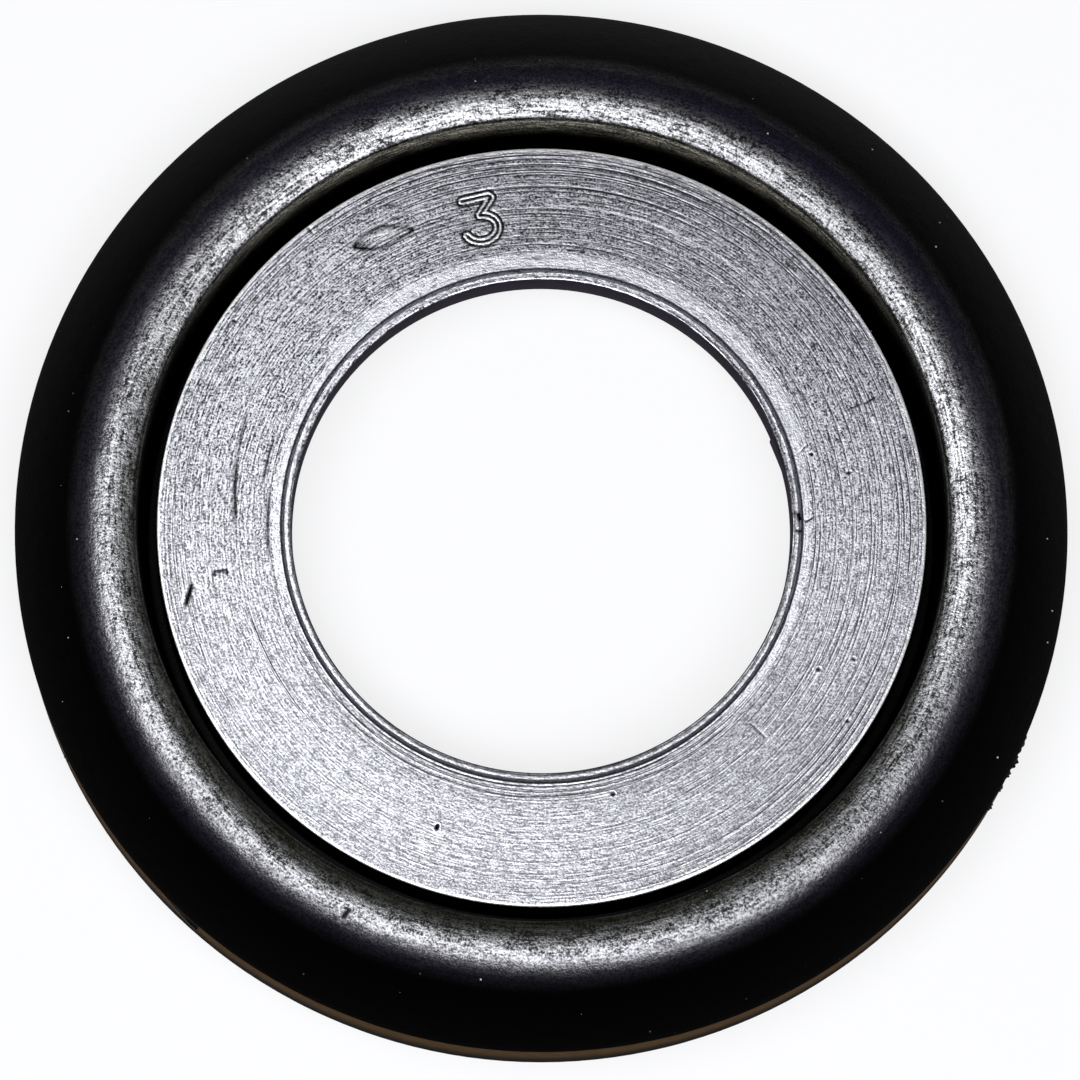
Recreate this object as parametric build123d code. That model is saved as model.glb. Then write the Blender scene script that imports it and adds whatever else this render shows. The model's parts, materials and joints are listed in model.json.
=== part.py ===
from build123d import *

import math
import os

# Fuel filler neck seal: one moulded rubber ring between the neck of a tank and the filler pipe.
# The pipe comes up through the lead-in and is gripped by the land of the bore. The neck's rim
# stands in the narrow groove, with the collar inside it and the rolled bead over its outside.
#
# Frame: Z runs up along the axis of the ring, the origin is the centre of the flat underside,
# and lengths are in millimetres. Heights are taken from the underside.

# Bore
BORE_D = 38.0  # land that grips the filler pipe
LAND_H = 3.8  # from the collar's face down to the start of the lead-in
LEAD_IN_D = 44.0  # mouth of the lead-in cone at the underside
LIP_W = 0.55  # narrow flat round the bore, where the mould's core met its cavity
LIP_DROP = 0.2  # how far that flat lies below the collar's face
LIP_RISE_W = 0.2  # slope between the two

# Collar
COLLAR_D = 58.4
COLLAR_H = 9.0

# Groove for the neck's rim
GROOVE_W = 1.5  # at the mouth, from the collar to the bead's crease
GROOVE_DRAFT = 3.0  # degrees, lean of the outer wall that let the mould draw
WEB_T = 3.0  # rubber left under the groove

# Bead
OUTER_D = 80.1
BEAD_H = 12.7  # level of the crest
CREST_SETBACK = 2.0  # from the crease out to the crest
ROLL_R = 4.8  # radius of the short inner side of the bead, crease to crest
SHOULDER_R = 4.3  # radius of the outer side, where it leaves the crest
SHOULDER_ROOM = 0.8  # most of the bead's outer half, crest to parting edge, that its rounding can take
FLANK_R = 36.0  # radius of the long, nearly straight flank below the shoulder
SKIRT_H = 7.6  # straight outer wall, up to the parting edge of the mould

# Edges
SKIRT_ROUND = 0.4
BORE_EDGE_BREAK = 0.12
COLLAR_EDGE_BREAK = 0.08
GROOVE_FLOOR_BREAK = 0.3


def corner_at(section, point):
    """The corner of the section at this radius and height."""
    return section.vertices().sort_by_distance((*point, 0))[0]


def shoulder_turn(radius, run, fall):
    """How far the shoulder turns down before the flank, tangent to it, can reach the parting edge."""
    gap = FLANK_R - radius
    from_centre = math.hypot(run, radius - fall)
    bearing = math.atan2(run, radius - fall)
    share = (FLANK_R**2 - gap**2 - from_centre**2) / (2 * gap * from_centre)
    return bearing - math.acos(share)


def seal_section():
    """The solid half of the ring's section, radius across and height up."""
    bore_r = BORE_D / 2
    lip_r = bore_r + LIP_W
    lip_z = COLLAR_H - LIP_DROP
    collar_r = COLLAR_D / 2
    outer_r = OUTER_D / 2

    # the crease is where the bead's inner roll meets the outer wall of the groove
    crease_r = collar_r + GROOVE_W
    crest_r = crease_r + CREST_SETBACK
    roll_fall = ROLL_R - math.sqrt(ROLL_R**2 - CREST_SETBACK**2)
    crease_z = BEAD_H - roll_fall
    floor_r = crease_r - (crease_z - WEB_T) * math.tan(math.radians(GROOVE_DRAFT))

    lead_in_mouth = (LEAD_IN_D / 2, 0)
    throat = (bore_r, COLLAR_H - LAND_H)
    bore_edge = (bore_r, lip_z)
    collar_edge = (collar_r, COLLAR_H)
    floor_inner = (collar_r, WEB_T)
    floor_outer = (floor_r, WEB_T)
    crease = (crease_r, crease_z)
    crest = (crest_r, BEAD_H)
    # the shoulder rounds the bead's outer corner, so the bead's width limits its radius
    shoulder_r = min(SHOULDER_R, SHOULDER_ROOM * (outer_r - crest_r))
    turn = shoulder_turn(shoulder_r, outer_r - crest_r, BEAD_H - SKIRT_H)
    shoulder_end = (crest_r + shoulder_r * math.sin(turn), BEAD_H - shoulder_r * (1 - math.cos(turn)))
    parting_edge = (outer_r, SKIRT_H)
    skirt_foot = (outer_r, 0)

    with BuildSketch(Plane.XZ) as section:
        with BuildLine():
            Polyline(
                lead_in_mouth,
                throat,
                bore_edge,
                (lip_r, lip_z),
                (lip_r + LIP_RISE_W, COLLAR_H),
                collar_edge,
                floor_inner,
                floor_outer,
                crease,
            )
            # both sides of the bead leave its crest level: a short roll in, a shoulder and a flank out
            TangentArc(crest, crease, tangent=(-1, 0))
            TangentArc(crest, shoulder_end, tangent=(1, 0))
            TangentArc(shoulder_end, parting_edge, tangent=(math.cos(turn), -math.sin(turn)))
            Polyline(parting_edge, skirt_foot, lead_in_mouth)
        make_face()
        chamfer(corner_at(section, bore_edge), length=BORE_EDGE_BREAK)
        chamfer(corner_at(section, collar_edge), length=COLLAR_EDGE_BREAK)
        chamfer(corner_at(section, floor_inner), length=GROOVE_FLOOR_BREAK)
        chamfer(corner_at(section, floor_outer), length=GROOVE_FLOOR_BREAK)
        fillet(corner_at(section, skirt_foot), radius=SKIRT_ROUND)
    return section.sketch


filler_neck_seal = revolve(seal_section(), axis=Axis.Z)

os.makedirs("parts", exist_ok=True)
export_step(filler_neck_seal, "parts/filler_neck_seal.step")
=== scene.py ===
import functools
import json
import math

import bpy
import numpy as np
from mathutils import Matrix, Vector


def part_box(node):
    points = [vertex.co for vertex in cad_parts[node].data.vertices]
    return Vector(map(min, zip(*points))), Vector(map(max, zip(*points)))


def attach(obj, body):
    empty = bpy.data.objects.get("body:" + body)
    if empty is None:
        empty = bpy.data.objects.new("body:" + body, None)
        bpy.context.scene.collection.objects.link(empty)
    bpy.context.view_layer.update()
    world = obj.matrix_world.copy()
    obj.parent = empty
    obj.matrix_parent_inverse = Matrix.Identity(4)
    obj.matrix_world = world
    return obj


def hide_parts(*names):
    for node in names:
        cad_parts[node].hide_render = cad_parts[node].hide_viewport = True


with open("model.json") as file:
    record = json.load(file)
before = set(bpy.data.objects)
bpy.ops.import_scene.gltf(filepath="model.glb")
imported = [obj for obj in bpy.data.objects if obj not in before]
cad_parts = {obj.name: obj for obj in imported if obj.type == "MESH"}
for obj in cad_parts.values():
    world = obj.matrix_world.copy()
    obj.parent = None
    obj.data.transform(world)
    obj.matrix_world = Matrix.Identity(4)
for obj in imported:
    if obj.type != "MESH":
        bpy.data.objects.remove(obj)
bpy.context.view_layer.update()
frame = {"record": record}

# Fuel filler neck seal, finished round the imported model. The ring is one moulding of black
# rubber: a turned collar round the bore, a deep groove, and a rolled bead above a straight
# skirt. Places are in metres with Z up the ring's axis, and the underside lies at zero.

bl_info = {
    "name": "Fuel Filler Neck Seal",
    "version": (1, 0, 0),
    "blender": (4, 5, 0),
    "location": "3D View > Sidebar > Seal",
    "description": "Builds a moulded rubber seal with its turned collar, mould marks and flash",
    "category": "Add Mesh",
}

MM = 0.001
NODE = "filler_neck_seal"
MARK_SHADING = "wear"
MOUNTS = {mount["name"]: mount["dims"] for mount in frame["record"]["mounts"]}
BORE_R = MOUNTS["pipe_bore"]["r_mm"] * MM
COLLAR_R = MOUNTS["neck_collar"]["r_mm"] * MM
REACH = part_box(NODE)[1]


# Sizes and colours that a user would change


def setting(kind, **fixed):
    """A maker of properties of one kind."""

    def make(name, description, default):
        return kind(name=name, description=description, default=default, **fixed)

    return make


number = setting(bpy.props.FloatProperty)
count = setting(bpy.props.IntProperty)
share = setting(bpy.props.FloatProperty, min=0.0, max=1.0, subtype="FACTOR")
length = setting(bpy.props.FloatProperty, subtype="DISTANCE", unit="LENGTH")
turn = setting(bpy.props.FloatProperty, subtype="ANGLE", unit="ROTATION")
standpoint = setting(bpy.props.FloatVectorProperty, size=3, subtype="TRANSLATION", unit="LENGTH")
colour = setting(bpy.props.FloatVectorProperty, size=3, min=0.0, max=1.0, subtype="COLOR")


class SealShape(bpy.types.PropertyGroup):
    bore_radius: length("Bore radius", "Land that grips the filler pipe", BORE_R)
    land_height: length("Land height", "From the collar's face down to the lead-in", 3.8 * MM)
    lead_in_radius: length("Lead-in radius", "Mouth of the lead-in at the underside", 22 * MM)
    lip_width: length("Lip width", "Narrow flat round the bore", 0.55 * MM)
    lip_drop: length("Lip drop", "Depth of the lip below the collar's face", 0.2 * MM)
    lip_rise: length("Lip rise", "Width of the slope between lip and face", 0.2 * MM)
    collar_radius: length("Collar radius", "Outer edge of the collar", COLLAR_R)
    collar_height: length("Collar height", "Level of the collar's face", 9 * MM)
    groove_width: length("Groove width", "Mouth of the groove for the neck's rim", 1.5 * MM)
    groove_draft: turn("Groove draft", "Lean of the groove's outer wall", math.radians(3))
    web: length("Web", "Rubber left under the groove", 3 * MM)
    bead_height: length("Bead height", "Level of the bead's crest", REACH.z)
    crest_setback: length("Crest setback", "From the crease out to the crest", 2 * MM)
    roll_radius: length("Roll radius", "Inner side of the bead, crease to crest", 4.8 * MM)
    shoulder_radius: length("Shoulder radius", "Outer side of the bead, beside its crest", 4.3 * MM)
    flank_radius: length("Flank radius", "Long, nearly straight flank below the shoulder", 36 * MM)
    outer_radius: length("Outer radius", "Straight skirt", REACH.x)
    skirt_height: length("Skirt height", "Level of the mould's parting edge", 7.6 * MM)
    skirt_round: length("Skirt round", "Rounding of the skirt's foot", 0.4 * MM)


class TurnedFinish(bpy.types.PropertyGroup):
    ring_pitch: length("Ring pitch", "Usual spacing of the mould's lathe rings", 0.42 * MM)
    ring_depth: length("Ring depth", "Usual depth of the rings", 0.008 * MM)
    ring_runs: number("Ring runs", "How often a ring breaks off on its way round", 2.2)
    ring_seed: count("Ring seed", "Another set of rings", 7)
    line_strength: share("Line strength", "How dark the fine ring lines are", 0.95)


class RubberLook(bpy.types.PropertyGroup):
    black: colour("Black", "Body of the rubber", (0.0004, 0.0002, 0.0002))
    # The collar's grey is a painted sheen: the rubber is black, and this tone stands in for the lamps'
    # reflection on the turned face.
    collar_tone: colour("Collar tone", "Turned face of the collar", (0.18, 0.18, 0.205))
    back_tone: colour("Back tone", "Underside and lead-in", (0.050, 0.047, 0.043))
    bore_tone: colour("Bore tone", "Wall of the bore", (0.030, 0.024, 0.036))
    # The bead's olive inner side and violet shoulder are painted tints of the lamps' reflections.
    inner_tone: colour("Inner tone", "Side of the bead next to the groove", (0.006, 0.006, 0.003))
    # A pale haze on the bead's inner wall, partly dust and partly painted light.
    haze: colour("Haze", "Dust on the bead's inner edge", (0.85, 0.80, 0.62))
    outer_tone: colour("Outer tone", "Shoulder of the bead", (0.0042, 0.0026, 0.0085))
    # The skirt's olive-brown is a painted reflection of warm surroundings at a grazing angle.
    bloom: colour("Bloom", "Olive-brown bloom on the skirt", (0.080, 0.042, 0.012))
    # The pale colour is dust in the specks, and a painted highlight on the marks' raised parts and along
    # the collar's outer edge.
    dust: colour("Dust", "Pale specks and scuffs", (0.42, 0.41, 0.38))
    skin_gloss: number("Skin gloss", "Refractive index of the rubbed skin", 4.6)
    bead_gloss: share("Bead gloss", "Share of the skin that the bead has kept", 0.72)
    skin_roughness: share("Skin roughness", "Roughness of the rubbed skin", 0.32)
    body_roughness: share("Body roughness", "Roughness of the rubber below the skin", 0.36)


class StudioLook(bpy.types.PropertyGroup):
    lens: number("Lens", "Focal length in millimetres", 271)
    distance: length("Camera distance", "From the collar's face to the camera", 617 * MM)
    lean: turn("Camera lean", "Angle between the ring's axis and the view", math.radians(9.77))
    bearing: turn("Camera bearing", "Side that the camera leans to, from +X", math.radians(-94.6))
    drop: length("Camera drop", "How far below the collar's centre the camera aims", 1.17 * MM)
    side_step: length("Camera side step", "How far left of the collar's centre it aims", 0.14 * MM)
    softbox_size: length("Softbox size", "Width of the two round softboxes", 400 * MM)
    left_place: standpoint("Left softbox place", "Middle of the left softbox", (-0.148, -0.064, 0.6))
    left_power: number("Left softbox power", "Watts", 2.8)
    right_place: standpoint("Right softbox place", "Middle of the right softbox", (0.124, -0.218, 0.6))
    right_power: number("Right softbox power", "Watts", 2.87)
    lamp_tint: colour("Lamp tint", "Slightly cool light", (0.93, 0.94, 1.0))
    world_level: share("World level", "Brightness of the air round the object", 0.01)


GROUPS = {
    "seal_shape": SealShape,
    "seal_turning": TurnedFinish,
    "seal_rubber": RubberLook,
    "seal_studio": StudioLook,
}


# Nodes


def put(name, data):
    """A new object in the scene."""
    thing = bpy.data.objects.new(name, data)
    bpy.context.scene.collection.objects.link(thing)
    return thing


class NodeMaker:
    """Adds nodes to one tree and joins them, one line for each step."""

    def __init__(self, tree):
        self.tree = tree

    def join(self, socket, value):
        if isinstance(value, bpy.types.NodeSocket):
            self.tree.links.new(value, socket)
        else:
            socket.default_value = value

    def add(self, kind, inputs=None, output=0, **settings):
        """A new node with its settings and inputs. Returns the output that is asked for, if it has any."""
        node = self.tree.nodes.new(kind)
        for name, value in settings.items():
            setattr(node, name, value)
        for key, value in (inputs or {}).items():
            self.join(node.inputs[key], value)
        return node.outputs[output] if node.outputs else None

    def split(self, vector):
        """The three parts of a vector."""
        node = self.tree.nodes.new("ShaderNodeSeparateXYZ")
        self.join(node.inputs[0], vector)
        return node.outputs

    def vector(self, x, y, z):
        return self.add("ShaderNodeCombineXYZ", {0: x, 1: y, 2: z})

    def math(self, operation, *values, clamp=False):
        return self.add("ShaderNodeMath", dict(enumerate(values)), operation=operation, use_clamp=clamp)

    def chain(self, operation, *values):
        """One operation over several values, from the first to the last."""
        return functools.reduce(lambda result, value: self.math(operation, result, value), values)

    times = functools.partialmethod(chain, "MULTIPLY")
    plus = functools.partialmethod(chain, "ADD")
    minus = functools.partialmethod(chain, "SUBTRACT")
    over = functools.partialmethod(chain, "DIVIDE")
    most = functools.partialmethod(chain, "MAXIMUM")

    def less(self, value, cut):
        """The value with a share of it cut away."""
        return self.times(value, self.math("SUBTRACT", 1.0, cut, clamp=True))

    def stirred(self, value, noise, strength):
        """The value moved up and down by a noise that runs from 0 to 1."""
        return self.plus(value, self.times(self.minus(noise, 0.5), strength))

    def ramp(self, value, low, high, start=0.0, end=1.0):
        """A smooth step from start to end as the value goes from low to high."""
        inputs = {"Value": value, "From Min": low, "From Max": high, "To Min": start, "To Max": end}
        return self.add("ShaderNodeMapRange", inputs, interpolation_type="SMOOTHSTEP")

    def fall(self, value, low, high):
        """A smooth step down from 1 to 0."""
        return self.ramp(value, low, high, 1.0, 0.0)

    def band(self, value, low, high, soft):
        """1 between low and high, 0 outside, with soft edges."""
        rise = self.ramp(value, low - soft / 2, low + soft / 2)
        return self.times(rise, self.fall(value, high - soft / 2, high + soft / 2))

    def furrow(self, gap):
        """A furrow and the burr beside it, from the distance to the furrow's middle in widths."""
        side = self.math("ABSOLUTE", self.minus(gap, 1.0))
        return self.fall(self.math("ABSOLUTE", gap), 0.2, 0.8), self.fall(side, 0.1, 0.6)

    def noise(self, place, scale, seed, detail=2.0, roughness=0.5):
        """Soft noise from 0 to 1. Another seed moves to another part of the pattern."""
        inputs = {0: place, 1: (scale, scale, scale), 2: self.vector(seed, 3.1, 7.7)}
        moved = self.add("ShaderNodeVectorMath", inputs, operation="MULTIPLY_ADD")
        settings = {"Vector": moved, "Scale": 1.0, "Detail": detail, "Roughness": roughness}
        return self.add("ShaderNodeTexNoise", settings, noise_dimensions="3D")

    def cells(self, place, scale, feature="F1", dimensions="3D", output="Distance"):
        """Distance to the nearest of scattered points, or to the edge between two of their cells."""
        settings = {"feature": feature, "voronoi_dimensions": dimensions}
        return self.add("ShaderNodeTexVoronoi", {"Vector": place, "Scale": scale}, output, **settings)

    def mix(self, factor, first, second):
        """A blend of two colours."""
        return self.add("ShaderNodeMix", {0: factor, 6: first, 7: second}, output=2, data_type="RGBA")

    def bend(self, radius, cosine, sine, pitch, runs):
        """Coordinates in which noise becomes rings: quick across the radius, slow round it."""
        return self.vector(self.over(radius, pitch), self.times(cosine, runs), self.times(sine, runs))


def fresh_nodes(owner):
    """A node maker for the emptied tree of a material or of the world."""
    owner.use_nodes = True
    owner.node_tree.nodes.clear()
    return NodeMaker(owner.node_tree)


class RingPlace:
    """Where a point lies on the ring: radius, height, and the cosine and sine of its angle."""

    def __init__(self, nodes, point):
        self.nodes = nodes
        self.point = point
        x, y, self.height = nodes.split(point)
        self.flat = nodes.vector(x, y, 0.0)
        self.radius = nodes.math("SQRT", nodes.plus(nodes.times(x, x), nodes.times(y, y)))
        self.cosine = nodes.over(x, self.radius)
        self.sine = nodes.over(y, self.radius)

    def turned(self, pitch, runs, seed, detail=2.0, roughness=0.6):
        """Noise drawn out into rings."""
        bent = self.nodes.bend(self.radius, self.cosine, self.sine, pitch, runs)
        return self.nodes.noise(bent, 1.0, seed, detail, roughness)

    def arc(self, middle, half, soft=6.0):
        """1 within some degrees of an angle, 0 beyond."""
        nodes = self.nodes
        x = nodes.times(self.cosine, math.cos(math.radians(middle)))
        y = nodes.times(self.sine, math.sin(math.radians(middle)))
        inner, outer = max(half - soft, 0.0), min(half + soft, 180.0)
        return nodes.ramp(nodes.plus(x, y), math.cos(math.radians(outer)), math.cos(math.radians(inner)))

    def sides(self, values):
        """Two numbers that change smoothly round the ring, given for every eighth of a turn from -X."""
        nodes = self.nodes
        angle = nodes.math("ARCTAN2", self.sine, self.cosine)
        node = nodes.tree.nodes.new("ShaderNodeValToRGB")
        nodes.join(node.inputs[0], nodes.math("MULTIPLY_ADD", angle, 0.5 / math.pi, 0.5))
        node.color_ramp.interpolation = "EASE"
        stops = node.color_ramp.elements
        for step in range(1, len(values)):
            stops.new(step / len(values))
        # a stop holds half of each number, because its colour ends at 1
        for stop, (first, second) in zip(stops, [*values, values[0]]):
            stop.color = (first / 2, second / 2, 0, 1)
        red, green = nodes.split(node.outputs[0])[:2]
        return nodes.times(red, 2.0), nodes.times(green, 2.0)

    def lines(self, pitch, width, runs, seed, cover):
        """Thin circles with a burr, one to each step of the pitch, that come and go on their way round."""
        nodes = self.nodes
        across = nodes.over(self.radius, pitch)
        lane = nodes.math("FLOOR", across)
        chance = nodes.add("ShaderNodeTexWhiteNoise", {"W": nodes.plus(lane, seed)}, noise_dimensions="1D")
        middle = nodes.math("MULTIPLY_ADD", chance, 0.5, 0.2)
        gap = nodes.times(nodes.minus(nodes.math("FRACT", across), middle), pitch / width)
        apart = 7.3  # keeps the noise of one lane from that of the next
        x, y = nodes.times(self.cosine, runs), nodes.times(self.sine, runs)
        run = nodes.noise(nodes.vector(nodes.times(lane, apart), x, y), 1.0, seed, detail=1.0)
        present = nodes.ramp(run, cover - 0.04, cover + 0.04)
        furrow, burr = nodes.furrow(gap)
        return nodes.times(furrow, present), nodes.times(burr, present)


# The rubber


class RingLine:
    """One ring line that is known by its place: a darker line of painted shade where its strength is below
    zero, and a lighter line of painted highlight where it is above.
    """

    def __init__(self, radius, width, strength, middle=0, half=180):
        self.radius, self.width, self.strength = radius * MM, width * MM, strength
        self.middle, self.half = middle, half


# Radius and width in millimetres and strength, then the middle and the half of the arc in degrees
RING_LINES = [
    RingLine(19.13, 0.30, -0.8, -70, 130),
    RingLine(19.45, 0.30, 0.5, 140, 90),
    RingLine(19.81, 0.15, -1.2),
    RingLine(20.20, 0.50, 0.7, 75, 120),
    RingLine(20.10, 0.15, -1.0, -88, 45),
    RingLine(20.45, 0.15, -1.0, -95, 60),
    RingLine(20.90, 0.14, -0.9, -90, 45),
    RingLine(20.70, 0.80, 0.9, 78, 62),
    RingLine(20.78, 0.10, -0.6, 60, 150),
    RingLine(22.15, 0.11, -0.8, 60, 35),
    RingLine(23.13, 0.10, -0.9, -152, 10),
    RingLine(23.27, 0.10, -0.9, -152, 10),
    RingLine(24.80, 0.16, 1.0, 70, 16),
    RingLine(26.20, 0.14, -1.1, 84, 14),
    RingLine(27.30, 0.12, -1.0, 75, 35),
    RingLine(27.95, 0.12, -0.9, 72, 48),
    RingLine(28.45, 0.12, -0.9, 76, 46),
    RingLine(28.78, 0.12, -0.9, 80, 55),
    RingLine(29.07, 0.18, 0.9),
]

# Factors on the shine of the collar and of the bead, at every eighth of a turn from -X by way of -Y. On the
# collar they also scale its painted sheen, so some sides are painted lighter than others.
SIDE_SHINE = [
    (1.20, 1.20),
    (1.12, 0.76),
    (1.02, 0.72),
    (0.80, 0.65),
    (1.45, 1.60),
    (0.96, 0.70),
    (0.76, 0.90),
    (1.28, 1.20),
]


def crest_radius(shape):
    return shape.collar_radius + shape.groove_width + shape.crest_setback


def known_lines(nodes, where):
    """How much the known ring lines brighten and darken the face: painted highlights and painted shade
    along the lines.
    """
    bright, dark = 0.0, 0.0
    for line in RING_LINES:
        gap = nodes.minus(where.radius, line.radius)
        furrow, burr = nodes.furrow(nodes.times(gap, 1 / line.width))
        here = where.arc(line.middle, line.half) if line.half < 180 else 1.0
        drawn = nodes.times(furrow, here, abs(line.strength))
        if line.strength > 0:
            bright = nodes.plus(bright, drawn)
        else:
            dark = nodes.plus(dark, drawn)
            bright = nodes.plus(bright, nodes.times(burr, here, -0.6 * line.strength))
    return bright, dark


def evened(nodes, skin, even):
    """The skin with a share of its contrast taken out."""
    usual = 0.55
    return nodes.plus(nodes.less(skin, even), nodes.times(even, usual))


def collar_skin(nodes, where, finish, grain, shape):
    """Share of the turned face that shines, the painted highlights of burrs that shine on top of it, and
    its relief. The share also lays the collar's painted sheen, so its dark ring lines are painted shade
    there.
    """
    inner, outer = shape.bore_radius, shape.collar_radius
    known_bright, known_dark = known_lines(nodes, where)
    near_bore = nodes.fall(where.radius, inner + 1.8 * MM, inner + 3.2 * MM)
    near_rim = nodes.ramp(where.radius, outer - 3.6 * MM, outer - 1.6 * MM)
    zone = nodes.most(near_bore, near_rim, 0.8)

    fine = where.turned(0.12 * MM, runs=34.0, seed=4.0, detail=1.0, roughness=0.7)
    patches = nodes.noise(where.point, 700, seed=3.0, detail=3.0, roughness=0.6)
    speckle = nodes.stirred(nodes.stirred(grain, fine, 0.8), patches, 0.15)
    # the near side's speckle is evened out more than the far side's
    skin = evened(nodes, nodes.ramp(speckle, 0.26, 0.80), nodes.ramp(where.sine, -0.7, 0.5, 0.34, 0.0))
    # it is duller near the rim, and on the near side by the bore
    dull = nodes.ramp(where.radius, outer - 3.0 * MM, outer - 1.6 * MM, 0.0, 0.15)
    near_side = nodes.ramp(nodes.less(where.sine, nodes.times(where.cosine, 0.4)), -0.9, -0.2, 0.35, 0.0)
    skin = nodes.less(nodes.less(skin, dull), nodes.times(near_bore, near_side))

    # dark ring lines are painted shade in the face's shine and painted sheen, and the burrs beside them are
    # painted highlights
    dark, dark_burr = where.lines(finish.ring_pitch, 0.11 * MM, runs=2.2, seed=11.0, cover=0.50)
    thin, thin_burr = where.lines(0.25 * MM, 0.08 * MM, runs=4.0, seed=23.0, cover=0.52)
    crisp = nodes.ramp(nodes.plus(where.sine, where.cosine), -1.0, 0.7, 0.5, 1.0)
    rings = nodes.times(nodes.most(dark, nodes.times(thin, 0.8)), zone, crisp)
    burr_highlights = nodes.times(nodes.most(dark_burr, nodes.times(thin_burr, 0.8)), zone, crisp)
    skin = nodes.less(skin, nodes.times(nodes.plus(rings, known_dark), finish.line_strength))
    burr_highlights = nodes.times(nodes.plus(burr_highlights, known_bright), nodes.ramp(fine, 0.35, 0.6, 0.35, 0.95))
    return skin, burr_highlights, nodes.times(fine, 0.5)


def bead_skin(nodes, where, grain, shape):
    """Share of the bead that shines, and its relief."""
    crest_r = crest_radius(shape)
    leather = nodes.noise(where.point, 2600, seed=12.0, detail=3.0, roughness=0.65)
    patches = nodes.noise(where.point, 420, seed=13.0, detail=3.0, roughness=0.6)
    cracks = nodes.fall(nodes.cells(where.point, 900, "DISTANCE_TO_EDGE"), 0.03, 0.12)
    cracks = nodes.times(cracks, nodes.ramp(patches, 0.56, 0.66), nodes.ramp(leather, 0.42, 0.55))
    streaks = where.turned(0.18 * MM, runs=13.0, seed=14.0, roughness=0.7)
    clumps = where.turned(0.5 * MM, runs=12.0, seed=17.0, detail=1.0)
    dots = nodes.fall(nodes.cells(where.flat, 820, dimensions="2D"), 0.07, 0.13)
    dots = nodes.times(dots, nodes.ramp(leather, 0.5, 0.6))

    # the streaks are strongest on the inner side
    drawn = nodes.ramp(where.radius, crest_r - 0.6 * MM, crest_r + 0.8 * MM, 1.1, 0.5)
    speckle = nodes.stirred(nodes.stirred(grain, leather, 0.8), patches, 0.4)
    speckle = nodes.stirred(nodes.stirred(speckle, streaks, drawn), clumps, 0.4)
    # the shoulder is smoother than the crest
    even = nodes.ramp(where.radius, crest_r + 0.3 * MM, crest_r + 1.8 * MM, 0.05, 0.4)
    skin = evened(nodes, nodes.less(nodes.ramp(speckle, 0.22, 0.80), nodes.times(dots, 0.6)), even)
    skin = nodes.less(skin, nodes.times(cracks, 0.8, nodes.minus(1.0, even)))
    return skin, nodes.times(leather, 1.4)


class Zones:
    """Where the ring's surfaces lie, each from 0 to 1."""

    def __init__(self, nodes, where, shape):
        radius, height = where.radius, where.height
        top, parting, crest_r = shape.collar_height, shape.skirt_height, crest_radius(shape)
        hair = 0.02 * MM  # covers the unevenness of a surface
        self.face = nodes.times(
            nodes.band(radius, shape.bore_radius + hair, shape.collar_radius + hair, 0.06 * MM),
            nodes.ramp(height, top - 0.34 * MM, top - 0.28 * MM),
        )
        self.bore = nodes.times(
            nodes.fall(radius, shape.bore_radius + hair, shape.bore_radius + 0.05 * MM),
            nodes.fall(height, top - 0.34 * MM, top - 0.30 * MM),
        )
        self.bead = nodes.ramp(radius, shape.collar_radius + 0.6 * MM, shape.collar_radius + 1.2 * MM)
        # the bead's skin ends at the crease, and thins out down the shoulder
        above_crease = nodes.ramp(height, shape.bead_height - 0.66 * MM, shape.bead_height - 0.46 * MM)
        above_crease = nodes.most(above_crease, nodes.ramp(radius, crest_r, crest_r + 0.3 * MM))
        shoulder = nodes.fall(radius, crest_r + 1.0 * MM, crest_r + 3.5 * MM)
        above_skirt = nodes.ramp(height, parting, parting + 1.0 * MM)
        self.crest = nodes.times(self.bead, shoulder, above_crease, above_skirt)
        self.wall = nodes.times(
            nodes.band(radius, shape.outer_radius - 0.15 * MM, shape.outer_radius + hair, 0.04 * MM),
            nodes.fall(height, parting - 0.12 * MM, parting + hair),
        )
        self.skirt = nodes.times(self.wall, nodes.ramp(height, 1.4 * MM, 5.4 * MM))
        lead_in = nodes.times(
            nodes.fall(radius, shape.lead_in_radius, shape.lead_in_radius + 0.2 * MM),
            nodes.fall(height, top - shape.land_height - 0.2 * MM, top),
        )
        self.back = nodes.most(lead_in, nodes.fall(height, 0.1 * MM, 0.5 * MM))
        self.upper = nodes.most(self.face, nodes.less(self.bead, self.wall))


def haze_and_painted_light(nodes, where, zones, grain, shape):
    """Pale haze on the bead's inner side, partly dust and partly painted light: thickest at the crease and
    on the far side, whose wall faces the lamps, fading down the wall, in layers.
    """
    crest_r = crest_radius(shape)
    inside = nodes.fall(where.radius, crest_r - 1.9 * MM, crest_r - 1.2 * MM)
    depth = nodes.ramp(where.height, shape.bead_height - 5.5 * MM, shape.bead_height - 0.3 * MM)
    far_side = nodes.ramp(where.sine, 0.4, 1.0, 0.03)
    layers = nodes.bend(where.height, where.cosine, where.sine, pitch=0.3 * MM, runs=16.0)
    layers = nodes.noise(layers, 1.0, seed=31.0)
    broken = nodes.times(nodes.ramp(layers, 0.35, 0.65, 0.15), nodes.ramp(grain, 0.38, 0.64, 0.1))
    return nodes.times(zones.bead, inside, depth, depth, far_side, broken)


def dust_specks(nodes, where):
    """Pale specks of all sizes, the largest under 0.2 mm across."""
    crowd = 230
    distance = nodes.cells(where.flat, crowd, dimensions="2D")
    pick = nodes.split(nodes.cells(where.flat, crowd, dimensions="2D", output="Color"))
    size = nodes.ramp(pick[0], 0.5, 1.0, 0.004, 0.020)
    return nodes.times(nodes.fall(nodes.over(distance, size), 0.7, 1.0), nodes.ramp(pick[1], 0.1, 0.9, 0.1))


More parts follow.
